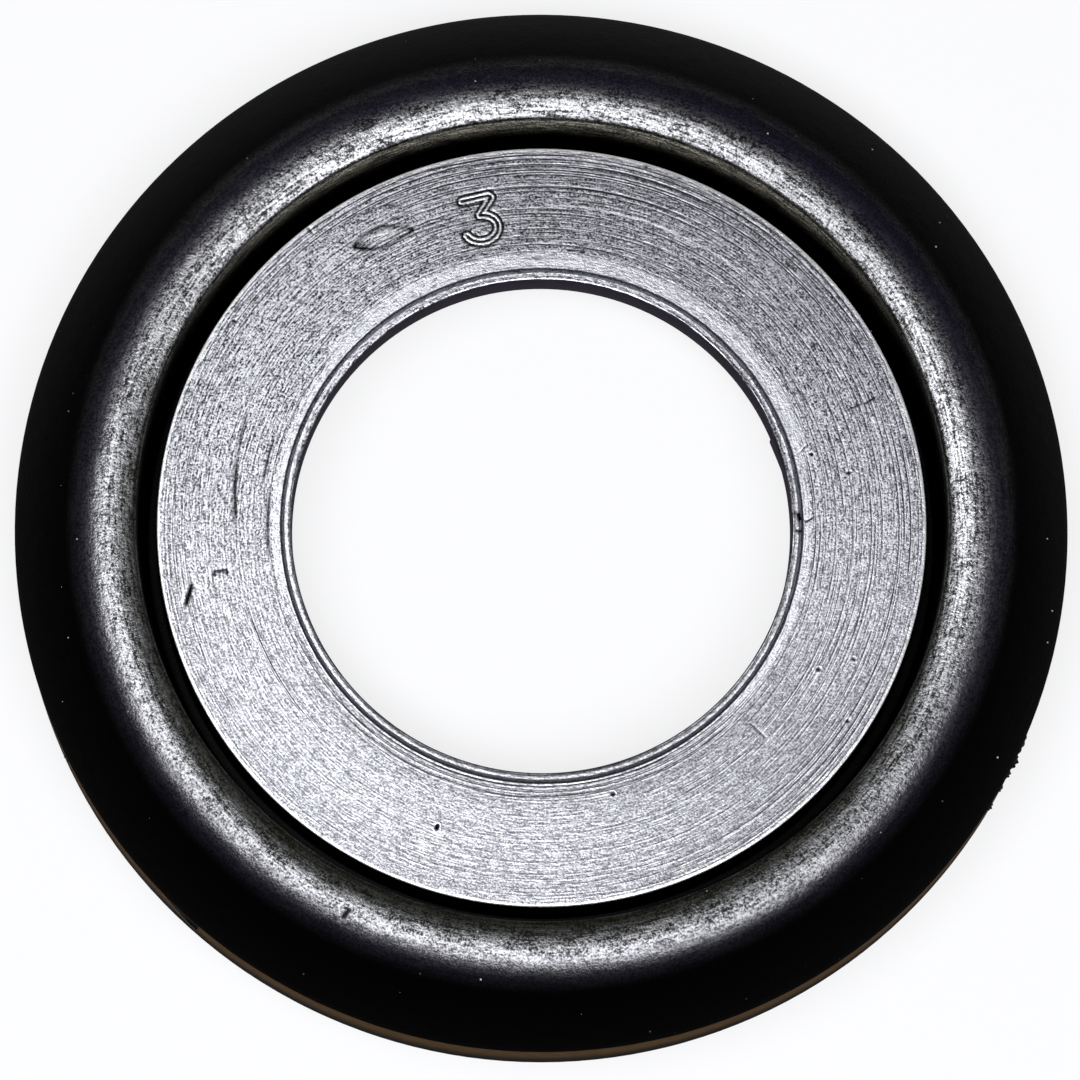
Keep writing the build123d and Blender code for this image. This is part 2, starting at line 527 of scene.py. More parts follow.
def rubber_material(look, finish, shape):
    """Moulded black rubber: satin on the turned collar and the rubbed bead, dull on the flank."""
    material = bpy.data.materials.new("Moulded black rubber")
    nodes = fresh_nodes(material)
    where = RingPlace(nodes, nodes.add("ShaderNodeTexCoord", output="Object"))
    zones = Zones(nodes, where, shape)

    # skin: what turning and rubbing left on the rubber
    grain = nodes.noise(where.point, 5800, seed=1.0, detail=1.0, roughness=0.6)
    face_skin, burr_highlights, face_relief = collar_skin(nodes, where, finish, grain, shape)
    crest_skin, crest_relief = bead_skin(nodes, where, grain, shape)
    face_side_shine, bead_side_shine = where.sides(SIDE_SHINE)
    face_skin = nodes.math("ADD", nodes.times(face_skin, face_side_shine), burr_highlights, clamp=True)
    # the marks' painted shade and light: hollows lose shine and painted sheen, and raised parts gain shine
    # and a pale painted highlight
    wear = nodes.add("ShaderNodeAttribute", output="Fac", attribute_name=MARK_SHADING)
    rubbed, cut = nodes.most(wear, 0.0), nodes.math("MULTIPLY", wear, -1.0, clamp=True)
    skin = nodes.plus(
        nodes.times(zones.face, face_skin), nodes.times(zones.crest, crest_skin, bead_side_shine, look.bead_gloss)
    )
    skin = nodes.math("ADD", nodes.less(skin, cut), rubbed, clamp=True)

    # colour: one coat on another, each where its share says
    mottle = nodes.noise(where.point, 900, seed=2.0, detail=4.0, roughness=0.65)
    swell = nodes.noise(where.point, 900, seed=40.0, detail=1.0)
    # painted sheen: the collar's grey lies where its face shines, with the ring lines' painted shade and
    # highlights and the marks' painted shade
    collar_sheen_cover = nodes.less(nodes.times(zones.face, nodes.math("MULTIPLY_ADD", face_skin, 0.9, 0.1)), cut)
    crest_r = crest_radius(shape)
    # painted reflection tints: olive on the bead's inner side, violet on its shoulder
    inner = nodes.times(zones.crest, nodes.fall(where.radius, crest_r - 0.4 * MM, crest_r + 1.2 * MM))
    outer = nodes.times(zones.crest, nodes.minus(1.0, inner))
    # a painted highlight along the collar's outer edge
    rim = nodes.ramp(where.radius, shape.collar_radius - 0.22 * MM, shape.collar_radius - 0.06 * MM)
    coats = [
        (nodes.times(zones.back, nodes.ramp(mottle, 0.3, 0.7, 0.5)), look.back_tone),
        (nodes.times(zones.bore, nodes.ramp(swell, 0.3, 0.7, 0.75)), look.bore_tone),
        (collar_sheen_cover, look.collar_tone),
        (haze_and_painted_light(nodes, where, zones, grain, shape), look.haze),
        (inner, look.inner_tone),
        (outer, look.outer_tone),
        # painted reflection on the skirt
        (nodes.times(zones.skirt, nodes.ramp(mottle, 0.25, 0.6, 0.65)), look.bloom),
        # pale colour: painted highlights on the marks' raised parts and the collar's outer edge
        (nodes.most(nodes.times(rubbed, 0.9), nodes.times(zones.face, rim)), look.dust),
        (nodes.times(dust_specks(nodes, where), zones.upper), look.dust),
    ]
    tone = (*look.black, 1)
    for cover, coat in coats:
        tone = nodes.mix(cover, tone, (*coat, 1))

    # roughness and relief
    smoothing = look.skin_roughness - look.body_roughness
    roughness = nodes.math("MULTIPLY_ADD", skin, smoothing, look.body_roughness)
    chalky = nodes.times(nodes.most(zones.wall, zones.bore), 0.55)
    roughness = nodes.math("ADD", roughness, chalky, clamp=True)
    relief = nodes.plus(nodes.times(zones.face, face_relief), nodes.times(zones.crest, crest_relief))
    relief = nodes.plus(relief, grain, nodes.times(swell, 1.2))
    bump = nodes.add("ShaderNodeBump", {"Strength": 1.0, "Distance": 0.015 * MM, "Height": relief})
    settings = {
        "Base Color": tone,
        "Roughness": roughness,
        "IOR": 1.5,
        "Specular IOR Level": 0.03,
        "Normal": bump,
        "Coat Weight": skin,
        "Coat Roughness": look.skin_roughness,
        "Coat IOR": look.skin_gloss,
        "Coat Normal": bump,
    }
    shader = nodes.add("ShaderNodeBsdfPrincipled", settings)
    nodes.add("ShaderNodeOutputMaterial", {"Surface": shader})
    return material


def the_rubber():
    """The seal's one material, made once."""
    scene = bpy.context.scene
    made = bpy.data.materials.get("Moulded black rubber")
    return made or rubber_material(scene.seal_rubber, scene.seal_turning, scene.seal_shape)


# The ring's section and stations

ROUNDING_ROWS = 4


class Corner:
    """A corner of the section: its place, its rounding, and the row spacing of the side after it."""

    def __init__(self, radius, height, rounding=0.0, spacing=math.inf):
        self.place = np.array((radius, height))
        self.rounding = rounding
        self.spacing = spacing


def corner_rows(before, corner, after):
    """The rows that round one corner off."""
    if not corner.rounding:
        return [corner.place]
    into = corner.place - before.place
    into /= np.linalg.norm(into)
    out = after.place - corner.place
    out /= np.linalg.norm(out)
    half_turn = math.acos(float(np.clip(into @ out, -1, 1))) / 2
    reach = corner.rounding * math.tan(half_turn)
    start, end = corner.place - into * reach, corner.place + out * reach
    steps = np.linspace(0, 1, ROUNDING_ROWS)
    return [start * (1 - t) ** 2 + corner.place * 2 * t * (1 - t) + end * t**2 for t in steps]


def arc_corners(centre, radius, start, end, spacing):
    """Corners along an arc between two angles, both ends left out."""
    count = max(2, round(abs(end - start) * radius / spacing))
    angles = np.linspace(start, end, count + 1)[1:-1]
    points = [(centre[0] + radius * math.cos(a), centre[1] + radius * math.sin(a)) for a in angles]
    return [Corner(r, z) for r, z in points]


def shoulder_turn(shape, run, fall):
    """How far the shoulder turns down before the flank, tangent to it, can reach the parting edge."""
    gap = shape.flank_radius - shape.shoulder_radius
    from_centre = math.hypot(run, shape.shoulder_radius - fall)
    bearing = math.atan2(run, shape.shoulder_radius - fall)
    cosine = (shape.flank_radius**2 - gap**2 - from_centre**2) / (2 * gap * from_centre)
    return bearing - math.acos(cosine)


def section_rows(shape):
    """The closed section as rows of radius and height, from the throat up and round."""
    lip_r = shape.bore_radius + shape.lip_width
    lip_z = shape.collar_height - shape.lip_drop
    crease_r = shape.collar_radius + shape.groove_width
    crest_r = crest_radius(shape)
    roll_fall = shape.roll_radius - math.sqrt(shape.roll_radius**2 - shape.crest_setback**2)
    crease_z = shape.bead_height - roll_fall
    floor_r = crease_r - (crease_z - shape.web) * math.tan(shape.groove_draft)
    roll_z = shape.bead_height - shape.roll_radius
    crease_angle = math.atan2(crease_z - roll_z, -shape.crest_setback)

    # the shoulder leaves the crest level, and the flank goes on from it to the parting edge
    level = math.pi / 2
    turned = shoulder_turn(shape, shape.outer_radius - crest_r, shape.bead_height - shape.skirt_height)
    shoulder = (crest_r, shape.bead_height - shape.shoulder_radius)
    gap = shape.flank_radius - shape.shoulder_radius
    flank = (shoulder[0] - gap * math.sin(turned), shoulder[1] - gap * math.cos(turned))
    parting_angle = math.atan2(shape.skirt_height - flank[1], shape.outer_radius - flank[0])

    corners = [
        Corner(shape.bore_radius, shape.collar_height - shape.land_height, 0.1 * MM, 1.2 * MM),
        Corner(shape.bore_radius, lip_z, 0.12 * MM, 0.12 * MM),
        Corner(lip_r, lip_z, 0.04 * MM, 0.1 * MM),
        Corner(lip_r + shape.lip_rise, shape.collar_height, 0.08 * MM, 0.09 * MM),
        Corner(shape.collar_radius, shape.collar_height, 0.08 * MM, 1.4 * MM),
        Corner(shape.collar_radius, shape.web, 0.25 * MM, 0.4 * MM),
        Corner(floor_r, shape.web, 0.25 * MM, 2.2 * MM),
        Corner(crease_r, crease_z, 0.40 * MM),
        *arc_corners((crest_r, roll_z), shape.roll_radius, crease_angle - 0.03, level, 0.21 * MM),
        Corner(crest_r, shape.bead_height),
        *arc_corners(shoulder, shape.shoulder_radius, level, level - turned, 0.24 * MM),
        *arc_corners(flank, shape.flank_radius, level - turned, parting_angle, 0.5 * MM),
        Corner(shape.outer_radius, shape.skirt_height, 0.06 * MM, 1.2 * MM),
        Corner(shape.outer_radius, 0, shape.skirt_round, 6 * MM),
        Corner(shape.lead_in_radius, 0, 0.1 * MM, 1.8 * MM),
    ]
    count = len(corners)
    bends = [corner_rows(corners[i - 1], corners[i], corners[(i + 1) % count]) for i in range(count)]
    rows = []
    for i, corner in enumerate(corners):
        rows += bends[i]
        start, end = bends[i][-1], bends[(i + 1) % count][0]
        gaps = max(1, math.ceil(np.linalg.norm(end - start) / corner.spacing))
        rows += [start + (end - start) * step / gaps for step in range(1, gaps)]
    return rows


def column_angles(marks, coarse=2.0):
    """Angles of the columns in degrees: even round the ring, and closer together across each mark."""
    spans = [mark.span() for mark in marks]
    angles = {round(a, 3) for a in np.arange(0, 360, coarse)}
    for start, end, step in spans:
        angles = {a for a in angles if not start < (a if a < 180 else a - 360) < end}
    fine = set()
    for start, end, step in sorted(spans, key=lambda span: span[2]):
        # a mark inside a finer one's columns takes those
        fresh = {round(a % 360, 3) for a in np.arange(start, end + step / 2, step)}
        fine |= {a for a in fresh if not any(abs(a - b) < 0.8 * step for b in fine)}
    return sorted(angles | fine)


def point_object(name, points):
    """A hidden helper that holds only points, for a node tree to read."""
    mesh = bpy.data.meshes.new(name)
    mesh.from_pydata([tuple(p) for p in points], [], [])
    return put(name, mesh)


def ring_tree():
    """Geometry Nodes: sweeps a section round the axis and cuts the lathe rings into its face."""
    tree = bpy.data.node_groups.new("Moulded ring", "GeometryNodeTree")
    tree.is_modifier = True
    sockets = {
        "Object": ["Section", "Stations"],
        "Float": ["Face Height", "Face Inner", "Face Outer", "Ring Pitch", "Ring Depth", "Ring Runs"],
        "Int": ["Seed"],
        "Material": ["Material"],
    }
    for kind, names in sockets.items():
        for name in names:
            tree.interface.new_socket(name=name, in_out="INPUT", socket_type="NodeSocket" + kind)
    tree.interface.new_socket(name="Geometry", in_out="OUTPUT", socket_type="NodeSocketGeometry")
    nodes = NodeMaker(tree)
    given = tree.nodes.new("NodeGroupInput").outputs

    section = nodes.add("GeometryNodeObjectInfo", {"Object": given["Section"]}, output="Geometry")
    stations = nodes.add("GeometryNodeObjectInfo", {"Object": given["Stations"]}, output="Geometry")
    rows = nodes.add("GeometryNodeAttributeDomainSize", {"Geometry": section}, output="Point Count")
    columns = nodes.add("GeometryNodeAttributeDomainSize", {"Geometry": stations}, output="Point Count")
    row_lines = nodes.plus(rows, 1)
    column_lines = nodes.plus(columns, 1)
    inputs = {"Vertices X": column_lines, "Vertices Y": row_lines}
    sheet = nodes.add("GeometryNodeMeshGrid", inputs, output="Mesh")

    # each point of the sheet takes its row from the section and its column from the stations
    number = nodes.add("GeometryNodeInputIndex")
    column = nodes.math("FLOOR", nodes.over(number, row_lines))
    row = nodes.minus(number, nodes.times(column, row_lines))
    place = nodes.add("GeometryNodeInputPosition")

    def sample(points, index):
        inputs = {"Geometry": points, "Value": place, "Index": index}
        found = nodes.add("GeometryNodeSampleIndex", inputs, data_type="FLOAT_VECTOR", domain="POINT")
        return nodes.split(found)

    profile = sample(section, nodes.math("MODULO", row, rows))
    heading = sample(stations, nodes.math("MODULO", column, columns))
    x, y = nodes.times(profile["X"], heading["X"]), nodes.times(profile["X"], heading["Y"])
    swept = nodes.vector(x, y, profile["Z"])
    ring = nodes.add("GeometryNodeSetPosition", {"Geometry": sheet, "Position": swept})
    ring = nodes.add("GeometryNodeMergeByDistance", {"Geometry": ring, "Distance": 0.002 * MM})

    # lathe rings on the collar's face
    where = RingPlace(nodes, place)
    bent = nodes.bend(where.radius, where.cosine, where.sine, given["Ring Pitch"], given["Ring Runs"])
    grooves = nodes.noise(bent, 1.0, given["Seed"], roughness=0.6)
    level = nodes.math("COMPARE", where.height, given["Face Height"], 0.01 * MM)
    rise = nodes.ramp(nodes.minus(where.radius, given["Face Inner"]), 0.0, 0.2 * MM)
    fall = nodes.ramp(nodes.minus(given["Face Outer"], where.radius), 0.05 * MM, 0.4 * MM)
    depth = nodes.times(nodes.minus(grooves, 0.5), 2.0, given["Ring Depth"], level, rise, fall)
    shift = nodes.vector(0.0, 0.0, depth)
    ring = nodes.add("GeometryNodeSetPosition", {"Geometry": ring, "Offset": shift})

    ring = nodes.add("GeometryNodeSetShadeSmooth", {"Geometry": ring})
    ring = nodes.add("GeometryNodeRealizeInstances", {"Geometry": ring})
    ring = nodes.add("GeometryNodeSetMaterial", {"Geometry": ring, "Material": given["Material"]})
    result = tree.nodes.new("NodeGroupOutput")
    tree.links.new(ring, result.inputs["Geometry"])
    return tree


def run_tree(name, tree, inputs):
    """A plain mesh object from a node tree, with its inputs set by the sockets' identifiers."""
    carrier = put(name + "_carrier", bpy.data.meshes.new(name + "_carrier"))
    modifier = carrier.modifiers.new("Nodes", "NODES")
    modifier.node_group = tree
    for item in tree.interface.items_tree:
        if item.in_out == "INPUT":
            modifier[item.identifier] = inputs[item.name]
    graph = bpy.context.evaluated_depsgraph_get()
    mesh = bpy.data.meshes.new_from_object(carrier.evaluated_get(graph), depsgraph=graph)
    mesh.name = name
    carrier.modifiers.remove(modifier)
    bpy.data.objects.remove(carrier)
    return put(name, mesh)


# Marks that the mould and the bench left on the collar and the bead


class Spot:
    """Something small at a place on the ring. Its tone is how much it dulls or brightens the skin: painted
    shade in its hollows and painted light on its raised parts.
    """

    fine = 0.2

    def __init__(self, angle, radius, size, depth, lean=0, tone=1.0):
        self.angle = angle
        self.radius = radius * MM
        self.size = size * MM
        self.depth = depth * MM
        self.lean = math.radians(lean)
        self.tone = tone

    def half_length(self):
        """How far the spot reaches round the ring, to each side."""
        return 1.6 * self.size

    def span(self):
        """First and last angle that need fine columns, and their spacing in degrees."""
        half = math.degrees(self.half_length() / self.radius)
        return self.angle - half, self.angle + half, self.fine

    def local(self, places):
        """Places as seen from the spot: x along its lean, which is clockwise at zero, and y across it."""
        heading = math.radians(self.angle)
        outward = np.array((math.cos(heading), math.sin(heading)))
        clockwise = np.array((outward[1], -outward[0]))
        along = clockwise * math.cos(self.lean) + outward * math.sin(self.lean)
        across = outward * math.cos(self.lean) - clockwise * math.sin(self.lean)
        offset = places[:, :2] - outward * self.radius
        return offset @ along, offset @ across


class Pit(Spot):
    """A pit with a faint raised rim, round or drawn out along its lean."""

    def __init__(self, angle, radius, size, depth, lean=0, narrow=1.0, tone=1.0):
        super().__init__(angle, radius, size, depth, lean, tone)
        self.narrow = narrow

    def shape(self, places):
        x, y = self.local(places)
        distance = np.hypot(x, y / self.narrow) / self.size
        return 0.35 * np.exp(-(((distance - 1.25) / 0.35) ** 2)) - np.exp(-(distance**4))


class Cut(Spot):
    """A short straight nick, which may have a burr on one side."""

    def __init__(self, angle, radius, size, depth, lean, width, burr=0.0, tone=1.0):
        super().__init__(angle, radius, size, depth, lean, tone)
        self.width = width * MM
        self.burr = burr

    def half_length(self):
        return 0.65 * self.size * abs(math.cos(self.lean)) + 3 * self.width

    def shape(self, places):
        x, y = self.local(places)
        reach = np.exp(-((x / (0.5 * self.size)) ** 6))
        furrow = np.exp(-((y / self.width) ** 2))
        burr = self.burr * np.exp(-(((y - 1.9 * self.width) / self.width) ** 2))
        return reach * (burr - furrow)


class Bracket(Cut):
    """A nick whose two ends turn the same way."""

    def shape(self, places):
        x, y = self.local(places)
        half = 0.5 * self.size
        gap = np.hypot(np.clip(np.abs(x) - half, 0, None), y)
        for end in (-half, half):
            hook = np.hypot(x - end, np.clip(np.abs(y - 1.5 * self.width) - 1.5 * self.width, 0, None))
            gap = np.minimum(gap, hook)
        return -np.exp(-((gap / self.width) ** 2))


class GateScar(Spot):
    """The leaf-shaped scar where the sprue was trimmed off."""

    fine = 0.25

    def __init__(self, angle, radius, size, depth, lean, width, tone=0.75):
        super().__init__(angle, radius, size, depth, lean, tone)
        self.width = width * MM

    def half_length(self):
        return 0.6 * self.size

    def shape(self, places):
        x, y = self.local(places)
        u, v = x / (self.size / 2), y / (self.width / 2)
        # the upper edge bows more than the lower one, and the ends are pointed
        bow = np.clip(1 - np.abs(u) ** 1.6, 0, None)
        upper, lower = bow, -0.7 * bow * (1 - 0.3 * u)
        inside = np.clip((1 - np.abs(u)) / 0.06, 0, 1)
        top_cut = np.exp(-(((v - upper) / 0.26) ** 2))
        low_cut = np.exp(-(((v - lower) / 0.15) ** 2))
        hollow = 0.8 * np.exp(-(((u + 0.62) / 0.2) ** 2) - ((v + 0.15) / 0.3) ** 2)
        crease = 0.35 * np.exp(-(((v - 0.2 * upper) / 0.13) ** 2)) * (u < 0.1)
        swell = 0.45 * np.exp(-(((v - 0.45) / 0.28) ** 2)) * bow
        return inside * (swell - top_cut - low_cut - crease - hollow)


class Figure(Spot):
    """A plain hand-cut figure 3, which shows which cavity of the mould the ring came from."""

    fine = 0.17

    def half_length(self):
        return 0.5 * self.size + 0.5 * MM

    def path(self):
        """The stroke's middle line: a flat top, a slant back to the waist and a round bowl."""
        top = [(-0.30, 0.47), (0.27, 0.50), (0.33, 0.44), (0.02, 0.10)]
        turns = np.radians(np.linspace(82, -160, 16))
        bowl = [(0.36 * math.cos(a), -0.19 + 0.29 * math.sin(a)) for a in turns]
        return np.array(top + bowl) * self.size

    def shape(self, places):
        local = np.stack(self.local(places), axis=1)
        line = self.path()
        distance = np.full(len(local), np.inf)
        for start, end in zip(line[:-1], line[1:]):
            side = end - start
            share_along = np.clip(((local - start) @ side) / (side @ side), 0, 1)
            nearest = start + share_along[:, None] * side
            distance = np.minimum(distance, np.linalg.norm(local - nearest, axis=1))
        # a slot between twin ridges, and a moat round them
        ridge, ridge_width, slot_width = 0.19 * MM, 0.065 * MM, 0.085 * MM
        twin = np.exp(-(((distance - ridge) / ridge_width) ** 2))
        moat = 1.1 * np.exp(-(((distance - 1.95 * ridge) / slot_width) ** 2))
        slot = 1.2 * np.exp(-((distance / slot_width) ** 2))
        return 0.6 * twin - moat - slot


class Score:
    """A ring cut deeper for part of a turn, which may drift in or out on its way."""

    def __init__(self, start, start_radius, end, end_radius, width, depth, tone=1.0):
        self.start, self.end = start, end
        self.start_radius, self.end_radius = start_radius * MM, end_radius * MM
        self.width, self.depth = width * MM, depth * MM
        self.tone = tone

    def shape(self, places):
        middle, half = (self.start + self.end) / 2, (self.end - self.start) / 2
        angle = np.degrees(np.arctan2(places[:, 1], places[:, 0])) - middle
        angle = (angle + 180) % 360 - 180
        along = np.clip((angle + half) / (2 * half), 0, 1)
        centre = self.start_radius + (self.end_radius - self.start_radius) * along
        reach = np.clip((half - np.abs(angle)) / min(3.0, half / 3), 0, 1)
        radius = np.hypot(places[:, 0], places[:, 1])
        return -reach * np.exp(-(((radius - centre) / self.width) ** 2))


# Angle in degrees, radius, size and depth in millimetres, and lean in degrees. Then comes the width, which
# for a pit is a share of its length.
FACE_MARKS = [
    Figure(101.3, 24.1, 3.55, 0.03, tone=1.5),
    GateScar(118.6, 25.25, 5.0, 0.012, -12, 1.8, tone=0.85),
    Cut(109.8, 24.8, 0.9, 0.01, -4, 0.08, tone=1.2),
    Cut(16.6, 20.8, 0.8, 0.02, 123, 0.07, burr=0.7),
    Pit(15.0, 21.2, 0.22, 0.02, 60, 0.7, tone=1.3),
    Cut(2.0, 19.55, 0.7, 0.03, 10, 0.17, tone=1.5),
    Cut(-1.2, 19.5, 0.5, 0.02, 70, 0.12, tone=1.2),
    Cut(1.2, 20.35, 0.85, 0.01, 120, 0.08, tone=1.4),
    Cut(-168.6, 27.26, 1.9, 0.06, -27, 0.15, burr=0.3, tone=1.5),
    Bracket(-171.7, 24.6, 0.95, 0.05, 90, 0.09, tone=1.4),
    Cut(-163.7, 25.55, 1.0, 0.02, 84, 0.07, tone=0.5),
    Cut(-43.9, 22.75, 1.5, 0.03, 90, 0.06, tone=0.7),
    Cut(21.05, 25.6, 0.95, 0.01, 93, 0.08, tone=1.5),
    Cut(21.1, 26.8, 1.15, 0.01, 100, 0.08, tone=1.5),
    Cut(-125.0, 29.05, 0.45, 0.06, 90, 0.09),
    Cut(127.8, 28.9, 0.7, 0.06, 85, 0.08),
    Cut(74.0, 29.0, 0.4, 0.05, 90, 0.08),
    Pit(-108.85, 24.47, 0.27, 0.09, 90, 0.6, tone=1.5),
    Pit(-75.4, 21.3, 0.18, 0.06),
    Pit(-33.0, 27.56, 0.16, 0.05),
    Pit(-23.5, 25.75, 0.16, 0.05),
    Pit(-27.8, 23.7, 0.18, 0.06),
    Pit(9.9, 23.7, 0.16, 0.05),
    Pit(146.2, 28.2, 0.16, 0.05),
]
# From one angle in degrees and radius in millimetres to another, then width, depth and tone
SCORES = [
    Score(158.6, 24.0, 168, 23.64, 0.09, 0.03, 0.9),
    Score(167, 23.68, 180.5, 23.12, 0.12, 0.04, 1.5),
    Score(161, 21.4, 172, 21.4, 0.10, 0.03, 1.0),
    Score(172, 20.8, 187, 20.8, 0.10, 0.03, 1.0),
    Score(60, 27.9, 100, 27.9, 0.09, 0.02, 0.4),
]
BEAD_MARKS = [
    Cut(-116.0, 33.6, 1.1, 0.06, 80, 0.2, tone=1.6),
]


def cut_marks(mesh, shape):
    """Moves the face's and the bead's points by the marks that lie there, and notes their painted shade in
    hollows and painted light on raised parts.
    """
    places = np.empty((len(mesh.vertices), 3), np.float32)
    mesh.vertices.foreach_get("co", places.ravel())
    places = places.astype(float)
    radius = np.hypot(places[:, 0], places[:, 1])
    face = (places[:, 2] > shape.collar_height - 0.25 * MM) & (radius < shape.collar_radius + 0.01 * MM)
    bead = (places[:, 2] > shape.skirt_height + 1 * MM) & (radius > shape.collar_radius + 2 * MM)
    wear = np.zeros(len(places))
    for part, marks in ((face, FACE_MARKS + SCORES), (bead, BEAD_MARKS)):
        for mark in marks:
            relief = mark.shape(places[part])
            places[part, 2] += relief * mark.depth
            wear[part] += relief * mark.tone
    places[:, 2] = np.minimum(places[:, 2], shape.bead_height)
    mesh.vertices.foreach_set("co", places.astype(np.float32).ravel())
    layer = mesh.attributes.new(MARK_SHADING, "FLOAT", "POINT")
    layer.data.foreach_set("value", np.clip(wear, -1, 1).astype(np.float32))
    mesh.update()


# Flash


def bump_out(height, power):
    """A fin's ragged reach, which rises and falls between its ends."""

    def reach(t):
        ragged = 0.7 + 0.3 * math.sin(17 * t + 40 * height)
        return height * MM * math.sin(math.pi * t) ** power * ragged

    return reach


def snapped_off(t):
    """Grows to its full reach, and ends there with a step."""
    return 0.30 * MM * min(1, 1.15 * t)


def bore_reach(t):
    """Blunt at its first end, long over its first half, and a mere thread at its tail."""
    longest, thread, tail = 0.46, 0.05, 0.62
    return MM * (longest * min(1.0, 10 * t) * max(0.0, 1 - (t / tail) ** 2) + thread)


class Fin:
    """A thin fin that follows the ring from one angle to another, out of its root."""

    buried = 0.15 * MM
    step = 0.12 * MM

    def __init__(self, start, end, reach, droop, root, side, thickness, height):
        self.start, self.end = start, end
        self.reach, self.droop = reach, droop
        self.root, self.side = root, side
        self.thickness, self.height = thickness, height

    def section(self, t):
        """Six points round the fin at a share of its way."""
        angle = math.radians(self.start + (self.end - self.start) * t)
        reach, droop, half = self.reach(t) * self.side, self.droop(t), self.thickness / 2
        lower = [
            (self.root - self.buried * self.side, -half, 0.0),
            (self.root + 0.6 * reach, -half * 0.9, droop * 0.4),
            (self.root + reach, -half * 0.35, droop),
        ]
        upper = [(r, -z, sag) for r, z, sag in reversed(lower)]
        return [
            (r * math.cos(angle), r * math.sin(angle), self.height + z + sag) for r, z, sag in lower + upper
        ]


def fin_mesh(name, fins):
    """One mesh of closed fins."""
    points, faces = [], []
    for fin in fins:
        steps = max(6, round(abs(math.radians(fin.end - fin.start)) * fin.root / fin.step))
        sections = [fin.section(step / steps) for step in range(steps + 1)]
        first, size = len(points), len(sections[0])
        points += sum(sections, [])
        last = first + steps * size
        turned_over = (fin.end < fin.start) == (fin.side > 0)
        sides = [
            (a + i, a + (i + 1) % size, a + size + (i + 1) % size, a + size + i)
            for a in range(first, last, size)
            for i in range(size)
        ]
        ends = [tuple(range(first, first + size))[::-1], tuple(range(last, last + size))]
        faces += [face if turned_over else face[::-1] for face in sides + ends]
    mesh = bpy.data.meshes.new(name)
    mesh.from_pydata(points, [], faces)
    mesh.update()
    return mesh


def finish_piece(piece):
    """Gives a piece its body."""
    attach(piece, "root")


# The stage


def floor_material():
    """Plain white floor that keeps the shadow, seen through from below."""
    material = bpy.data.materials.new("Plain pale floor")
    nodes = fresh_nodes(material)
    # it looks white to the camera, in gloss and through glass, but lights the object as a plain floor
    path = nodes.tree.nodes.new("ShaderNodeLightPath").outputs
    seen = nodes.most(path["Is Camera Ray"], path["Is Glossy Ray"], path["Is Transmission Ray"])
    lit = nodes.add("ShaderNodeBsdfDiffuse", {"Color": (0.8, 0.8, 0.8, 1)})
    bright = nodes.add("ShaderNodeEmission", {"Color": (1, 1, 1, 1), "Strength": 1.0})
    surface = nodes.add("ShaderNodeMixShader", {0: nodes.times(seen, 0.75), 1: lit, 2: bright})
    behind = nodes.add("ShaderNodeNewGeometry", output="Backfacing")
    clear = nodes.add("ShaderNodeBsdfTransparent")
    surface = nodes.add("ShaderNodeMixShader", {0: behind, 1: surface, 2: clear})
    nodes.add("ShaderNodeOutputMaterial", {"Surface": surface})
    return material


def add_floor(half=2.0, gap=0.05 * MM):
    mesh = bpy.data.meshes.new("floor")
    corners = [(-half, -half, -gap), (half, -half, -gap), (half, half, -gap), (-half, half, -gap)]
    mesh.from_pydata(corners, [], [(0, 1, 2, 3)])
    mesh.materials.append(floor_material())
    put("floor", mesh)


def aimed(stand, aim):
    """A matrix that stands at a place and looks at another, with the picture's up nearest to +Y."""
    back = (Vector(stand) - Vector(aim)).normalized()
    right = Vector((0, 1, 0)).cross(back).normalized()
    up = back.cross(right)
    return Matrix.Translation(stand) @ Matrix((right, up, back)).transposed().to_4x4()


def add_softbox(name, stand, aim, size, power, tint):
    lamp = bpy.data.lights.new(name, "AREA")
    lamp.color = tint
    lamp.shape = "DISK"
    lamp.size = size
    lamp.energy = power
    put(name, lamp).matrix_world = aimed(stand, aim)


def add_camera(studio, shape):
    camera = bpy.data.cameras.new("camera")
    camera.lens = studio.lens
    rig = put("camera", camera)
    away = math.sin(studio.lean)
    back = Vector((math.cos(studio.bearing) * away, math.sin(studio.bearing) * away, math.cos(studio.lean)))
    facing = aimed(back, (0, 0, 0)).to_3x3()
    right, up = facing.col[0], facing.col[1]
    aim = Vector((0, 0, shape.collar_height)) - up * studio.drop - right * studio.side_step
    rig.matrix_world = Matrix.Translation(aim + back * studio.distance) @ facing.to_4x4()
    bpy.context.scene.camera = rig


def set_world(level):
    """Even dim air for the light, and a white backdrop for the eye."""
    world = bpy.data.worlds.new("world")
    bpy.context.scene.world = world
    nodes = fresh_nodes(world)
    path = nodes.tree.nodes.new("ShaderNodeLightPath").outputs
    strength = nodes.most(path["Is Camera Ray"], level)
    air = nodes.add("ShaderNodeBackground", {"Color": (1, 1, 1, 1), "Strength": strength})
    nodes.add("ShaderNodeOutputWorld", {"Surface": air})


# Operators


